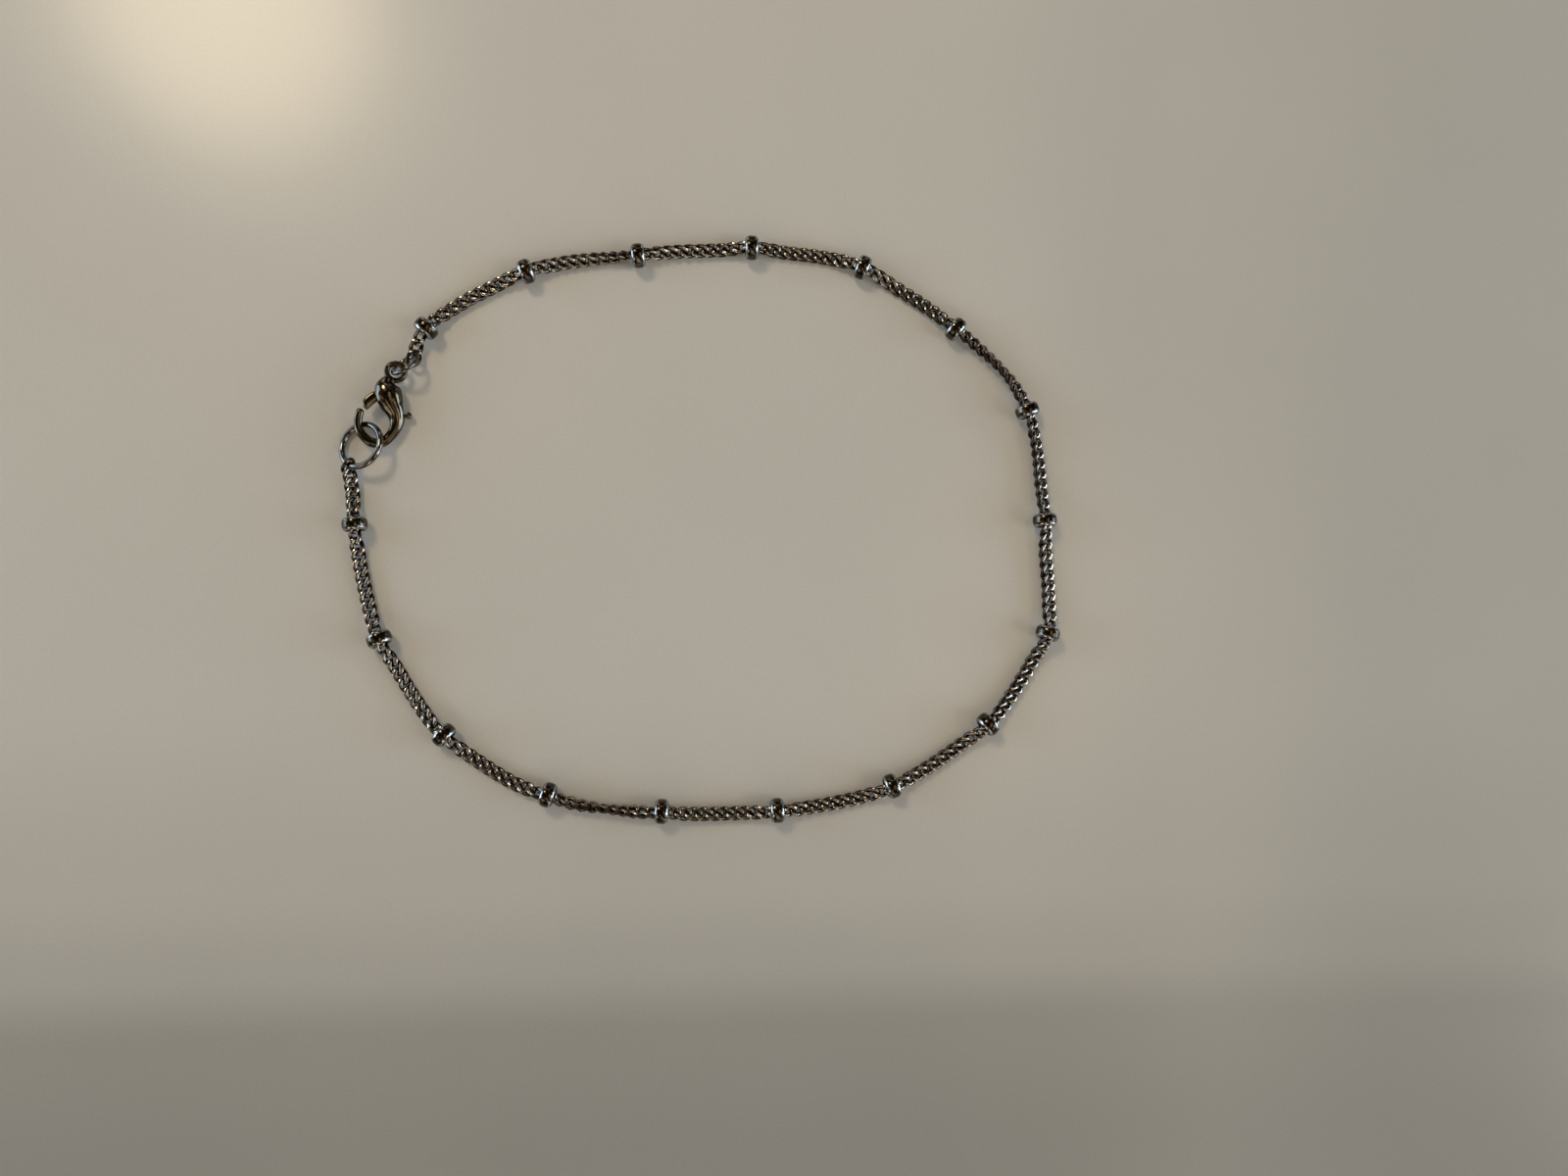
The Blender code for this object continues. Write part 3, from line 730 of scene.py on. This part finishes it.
def drawn_out(name, rows, sides, half_depth, power, mitre=0.0):
    """A ball drawn out along rows of (across, along, width), its ends rounded."""
    line = through(np.array(rows), 6)
    steps = np.linalg.norm(np.diff(line[:, :2], axis=0), axis=1)
    along = np.concatenate([[0.0], np.cumsum(steps)])
    runs = np.gradient(line[:, :2], axis=0)
    runs /= np.linalg.norm(runs, axis=1)[:, None]
    last = len(line) - 1
    bpy.ops.mesh.primitive_uv_sphere_add(segments=sides, ring_count=last, radius=1.0)
    piece = bpy.context.object
    piece.name = name
    for vertex in piece.data.vertices:
        k = round(math.acos(max(-1.0, min(1.0, vertex.co.z))) / math.pi * last)
        turn = math.atan2(vertex.co.y, vertex.co.x)
        width = line[k][2]
        end = min(along[k], along[-1] - along[k]) / (0.42 * width)
        taper = math.sqrt(1 - (1 - min(end, 1.0)) ** 2)
        c, s = (math.copysign(abs(v) ** power, v) for v in (math.cos(turn), math.sin(turn)))
        side = np.array((-runs[k][1], runs[k][0])) * c * width / 2 * taper
        lead = runs[k] * c * width / 2 * taper * mitre * max(1 - along[k] / width, 0.0)
        place = line[k][:2] + side + lead
        vertex.co = (*place, half_depth(width) * s * taper)
    return turned_out(piece)


def combine(piece, other, operation):
    """Joins the other piece to this one, or cuts it away, and removes it."""
    only(piece)
    change = piece.modifiers.new("change", "BOOLEAN")
    change.operation = operation
    change.solver = "EXACT"
    change.object = other
    bpy.ops.object.modifier_apply(modifier="change")
    bpy.data.objects.remove(other, do_unlink=True)


def mesh_evenly(piece, grain):
    """Meshes the piece again as one closed skin with faces of this size."""
    only(piece)
    mesher = piece.modifiers.new("close_mesh", "REMESH")
    mesher.mode = "VOXEL"
    mesher.voxel_size = grain
    bpy.ops.object.modifier_apply(modifier="close_mesh")


def cast_smooth(piece, grain, rounding):
    """Meshes the piece evenly and eases its edges, as a polished casting's are."""
    mesh_evenly(piece, grain)
    easing = piece.modifiers.new("eased", "SMOOTH")
    easing.factor = 0.5
    easing.iterations = rounding
    bpy.ops.object.modifier_apply(modifier="eased")
    bpy.ops.object.shade_smooth()


def clasp_stand():
    pitch, roll, lean = (math.radians(a) for a in CLASP_TURN)
    turn = Euler((pitch, roll, lean), "YXZ").to_matrix().to_4x4()
    return Matrix.Translation(CLASP_PLACE) @ turn @ Matrix.Scale(MM, 4)


def seat_on_clasp(piece, node, body, finish):
    piece.data.transform(clasp_stand())
    piece.data.materials.append(finish)
    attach(piece, body)
    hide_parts(node)


def drawn_lever(name, room, sides):
    """The lever's form round the pin, or the room for it, which leads out past the thumb tab."""
    rows = [(across, along, width + 2 * room) for across, along, width in LEVER]
    if room:
        across, along, width = LEVER_ROOM_END
        rows[-1] = (across, along, width + 2 * room)
    half_depth = LEVER_HALF_THICKNESS + room
    return drawn_out(name, rows, sides, lambda width: half_depth, LEVER_FLATNESS, LEVER_MITRE)


def lever_room():
    """The room for the lever through its whole swing, as one closed piece.

    Cut away swing by swing, the faces that lie on each other now and then spoil the cut."""
    rooms = []
    for swing in LEVER_SWINGS:
        room = drawn_lever("lever_room", LEVER_ROOM, 16)
        turn = Matrix.Rotation(math.radians(swing), 4, "Z")
        room.data.transform(Matrix.Translation(PIN_PLACE) @ turn)
        rooms.append(room)
    whole = only(rooms[0])
    for room in rooms[1:]:
        room.select_set(True)
    bpy.ops.object.join()
    mesh_evenly(whole, LEVER_ROOM_GRAIN)
    return whole


def make_clasp_casting(finish):
    """The hook, shoulder and eye in one, hollowed where the lever sits and swings."""
    casting = drawn_out("clasp_casting", LIMB, 32, lambda width: width / 2 * CLASP_FLATNESS, 1.0)
    bpy.ops.mesh.primitive_torus_add(
        major_segments=64,
        minor_segments=24,
        major_radius=EYE_RADIUS,
        minor_radius=EYE_WIRE_RADIUS,
        location=EYE_PLACE,
    )
    combine(casting, bpy.context.object, "UNION")
    combine(casting, lever_room(), "DIFFERENCE")
    cast_smooth(casting, CASTING_GRAIN, CASTING_ROUNDING)
    seat_on_clasp(casting, "clasp_body", "bracelet", finish)


def make_clasp_gate(finish):
    """The lever: gate, hub and thumb tab, one flat rounded bar, bored for the rivet."""
    gate = drawn_lever("clasp_gate", 0.0, 24)
    gate.data.transform(Matrix.Translation(PIN_PLACE))
    bpy.ops.mesh.primitive_cylinder_add(
        vertices=32, radius=RIVET_BORE_RADIUS, depth=8.0, location=PIN_PLACE
    )
    combine(gate, bpy.context.object, "DIFFERENCE")
    cast_smooth(gate, LEVER_GRAIN, LEVER_ROUNDING)
    seat_on_clasp(gate, "clasp_lever", "lever", finish)


def make_clasp_rivet(finish):
    """The rivet on which the lever turns, its ends filed flush with the casting."""
    bpy.ops.mesh.primitive_cylinder_add(
        vertices=32, radius=RIVET_RADIUS, depth=RIVET_LENGTH, location=PIN_PLACE
    )
    rivet = only(bpy.context.object)
    rivet.name = "clasp_rivet"
    rounding = rivet.modifiers.new("rounded", "BEVEL")
    rounding.width = RIVET_ROUNDING
    rounding.segments = 3
    bpy.ops.object.modifier_apply(modifier="rounded")
    rivet.data.transform(Matrix.Translation(PIN_PLACE))
    rivet.location = (0.0, 0.0, 0.0)
    bpy.ops.object.shade_smooth_by_angle(angle=math.radians(40))
    seat_on_clasp(rivet, "lever_pin", "bracelet", finish)


def make_clasp(finishes):
    make_clasp_casting(finishes["clasp"])
    make_clasp_gate(finishes["clasp"])
    make_clasp_rivet(finishes["clasp"])


# ---------------------------------------------------------------- stage


def shaded(nodes, links, colour, distance, levels, share=None):
    """The colour darkened by painted shade at these levels along one direction of the counter."""
    reach = mapped(nodes, links, distance, -SHADE_REACH, SHADE_REACH, 0.0, 1.0)
    stops = [((at + SHADE_REACH) / (2 * SHADE_REACH), (level,) * 3) for at, level in levels]
    return multiplied(nodes, links, colour, ramp_of(nodes, links, reach, stops, "EASE"), share)


def make_counter():
    """The plain pale surface that the bracelet lies on, with painted shade darkening it towards
    the front edge and the right.
    """
    bpy.ops.mesh.primitive_plane_add(size=6.0, location=(0.0, 0.0, 0.0))
    counter = bpy.context.object
    counter.name = "counter"
    made, nodes, links, shader = shader_of("pale_stone")
    place = nodes.new("ShaderNodeTexCoord").outputs["Object"]
    clouds = mottled(nodes, links, place, STONE_SCALE, 4.0, STONE)
    grain = mottled(nodes, links, place, STONE_GRAIN_SCALE, 1.0, STONE_GRAIN)
    colour = multiplied(nodes, links, clouds, grain)
    spot = nodes.new("ShaderNodeSeparateXYZ")
    links.new(place, spot.inputs["Vector"])
    # Painted shade: the colour is darkened towards the front edge in place of a cast shadow, and
    # towards the right in place of light falling off.
    fades = mapped(nodes, links, spot.outputs["X"], *FRONT_SHADE_FADES, "SMOOTHSTEP")
    colour = shaded(nodes, links, colour, spot.outputs["Y"], FRONT_SHADE, fades)
    colour = shaded(nodes, links, colour, spot.outputs["X"], RIGHT_SHADE)
    links.new(colour, shader.inputs["Base Color"])
    shader.inputs["Roughness"].default_value = STONE_ROUGHNESS
    shader.inputs["Specular IOR Level"].default_value = STONE_GLOSS
    counter.data.materials.append(made)


def make_room():
    """A warm room, lightest at mid height, with a few bright stretches."""
    world = bpy.data.worlds.new("room")
    bpy.context.scene.world = world
    world.use_nodes = True
    nodes, links = world.node_tree.nodes, world.node_tree.links
    aim = nodes.new("ShaderNodeTexCoord").outputs["Generated"]
    height = nodes.new("ShaderNodeSeparateXYZ")
    links.new(aim, height.inputs["Vector"])
    walls = ramp_of(nodes, links, height.outputs["Z"], ROOM_WALLS)
    stretches = mottled(nodes, links, aim, ROOM_STRETCH_SCALE, 1.0, ROOM_STRETCHES)
    lit = multiplied(nodes, links, walls, stretches)
    links.new(lit, nodes["Background"].inputs["Color"])
    nodes["Background"].inputs["Strength"].default_value = ROOM_STRENGTH


def make_lights():
    """The lamps and windows, each an area light aimed at the middle of the counter."""
    for name, (place, size, power, colour) in LAMPS.items():
        light = bpy.data.lights.new(name, "AREA")
        light.shape = "DISK" if len(size) == 1 else "RECTANGLE"
        light.size = size[0]
        if len(size) == 2:
            light.size_y = size[1]
        light.energy = power
        light.color = colour
        lamp = bpy.data.objects.new(name, light)
        bpy.context.collection.objects.link(lamp)
        lamp.location = place
        lamp.rotation_euler = (-Vector(place)).to_track_quat("-Z", "Y").to_euler()


def make_camera():
    """Straight above the counter but for a few degrees, as the photograph was taken."""
    lens = bpy.data.cameras.new("camera")
    lens.sensor_width = CAMERA_SENSOR
    lens.lens = CAMERA_LENS
    lens.clip_start = 0.01
    lens.clip_end = 20.0
    camera = bpy.data.objects.new("camera", lens)
    bpy.context.collection.objects.link(camera)
    camera.location = [value * MM for value in CAMERA_PLACE]
    camera.rotation_mode = "YXZ"
    camera.rotation_euler = (*(math.radians(tilt) for tilt in CAMERA_TILT), 0.0)
    bpy.context.scene.camera = camera


def main():
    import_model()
    make_camera()
    finishes = make_finishes()
    make_curb_chain(finishes)
    make_end_links(finishes)
    make_beads(finishes)
    make_jump_rings(finishes)
    make_clasp(finishes)
    make_counter()
    make_room()
    make_lights()
    bpy.context.scene.view_settings.view_transform = "Standard"


main()
